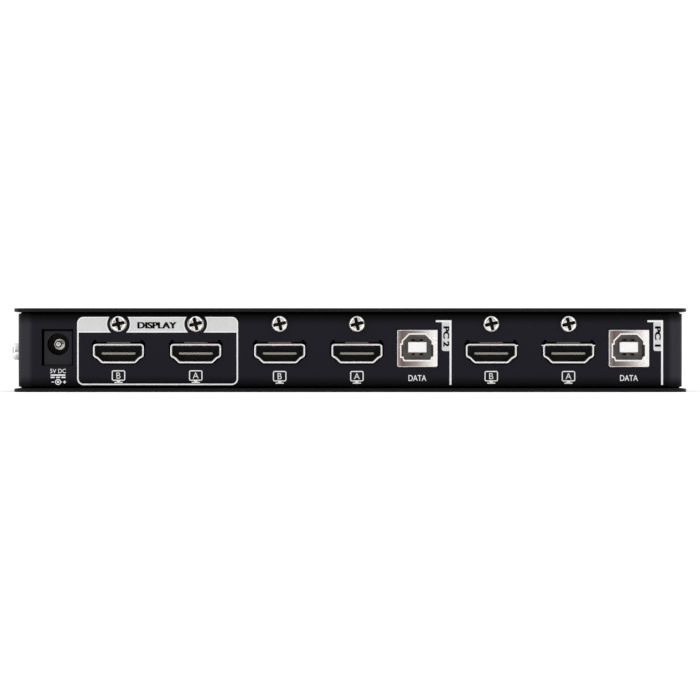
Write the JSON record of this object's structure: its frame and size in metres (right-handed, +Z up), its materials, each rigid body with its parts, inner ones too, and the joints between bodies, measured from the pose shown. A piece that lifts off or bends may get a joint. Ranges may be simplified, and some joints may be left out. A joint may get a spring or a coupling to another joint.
{
  "type": "kvm switch",
  "caption": "Flat black metal desktop switch box that shares keyboard, mouse and two monitors, with rear video, data and power sockets and front push buttons.",
  "frame": {"origin": "middle of the flat underside of the bottom plate", "axes": "+Z up; -Y the front with the buttons, +Y the rear with the sockets; +X to the right seen from the front"},
  "size_m": [0.2018, 0.0906, 0.025],
  "materials": {
    "case_paint": "fine satin powder coat",
    "bezel_plastic": "fine moulded texture",
    "button_plastic": "smooth satin",
    "socket_metal": "bright nickel plate",
    "video_tongue_plastic": "moulded",
    "data_tongue_plastic": "moulded",
    "contact_gold": "gold flash",
    "jack_plastic": "moulded",
    "pin_metal": "bright nickel plate",
    "spring_steel": "rolled",
    "plunger_plastic": "moulded",
    "chip_plastic": "moulded",
    "clear_plastic": "clear moulding",
    "lamp_plastic": "moulded lens",
    "board_laminate": "black solder mask",
    "sink_aluminium": "black anodised",
    "can_metal": "drawn can",
    "standoff_brass": "turned",
    "screw_metal": "bright nickel plate",
    "black_screw_metal": "black oxide",
    "printed_ink": "screen-printed ink"
  },
  "bodies": {
    "case": {"top_cover": "case_paint", "bottom_plate": "case_paint", "rear_wall": "case_paint", "side_walls": "case_paint", "front_bezel": "bezel_plastic", "button_panel": "bezel_plastic", "monitor_b_port_shell": "socket_metal", "monitor_b_port_body": "video_tongue_plastic", "monitor_b_port_contacts": "contact_gold", "monitor_a_port_shell": "socket_metal", "monitor_a_port_body": "video_tongue_plastic", "monitor_a_port_contacts": "contact_gold", "pc2_video_b_port_shell": "socket_metal", "pc2_video_b_port_body": "video_tongue_plastic", "pc2_video_b_port_contacts": "contact_gold", "pc2_video_a_port_shell": "socket_metal", "pc2_video_a_port_body": "video_tongue_plastic", "pc2_video_a_port_contacts": "contact_gold", "pc1_video_b_port_shell": "socket_metal", "pc1_video_b_port_body": "video_tongue_plastic", "pc1_video_b_port_contacts": "contact_gold", "pc1_video_a_port_shell": "socket_metal", "pc1_video_a_port_body": "video_tongue_plastic", "pc1_video_a_port_contacts": "contact_gold", "pc2_data_port_shell": "socket_metal", "pc2_data_port_body": "data_tongue_plastic", "pc2_data_port_contacts": "contact_gold", "pc1_data_port_shell": "socket_metal", "pc1_data_port_body": "data_tongue_plastic", "pc1_data_port_contacts": "contact_gold", "keyboard_port_shell": "socket_metal", "keyboard_port_body": "data_tongue_plastic", "keyboard_port_contacts": "contact_gold", "mouse_port_shell": "socket_metal", "mouse_port_body": "data_tongue_plastic", "mouse_port_contacts": "contact_gold", "power_socket_housing": "jack_plastic", "power_socket_pin": "pin_metal", "power_socket_spring": "spring_steel", "sound_socket_housing": "jack_plastic", "sound_socket_contacts": "contact_gold", "switch_body_1": "chip_plastic", "switch_dome_1": "spring_steel", "switch_body_2": "chip_plastic", "switch_dome_2": "spring_steel", "light_pipe": "clear_plastic", "status_lamps": "lamp_plastic", "circuit_board": "board_laminate", "chips": "chip_plastic", "heat_sinks": "sink_aluminium", "crystals_and_capacitors": "can_metal", "board_standoffs": "standoff_brass", "board_screws": "screw_metal", "case_screws": "black_screw_metal", "lock_screws": "screw_metal", "ground_screw": "screw_metal"},
    "button_1": {"select_button_1": "button_plastic", "switch_plunger_1": "plunger_plastic"},
    "button_2": {"select_button_2": "button_plastic", "switch_plunger_2": "plunger_plastic"}
  },
  "joints": [
    {"name": "press_button_1", "type": "slide", "parent": "case", "child": "button_1", "axis": [0, 1, 0], "range_m": [0, 0.0003], "stiffness_N_per_m": 5000, "deforming": ["switch_dome_1"]},
    {"name": "press_button_2", "type": "slide", "parent": "case", "child": "button_2", "axis": [0, 1, 0], "range_m": [0, 0.0003], "stiffness_N_per_m": 5000, "deforming": ["switch_dome_2"]}
  ]
}
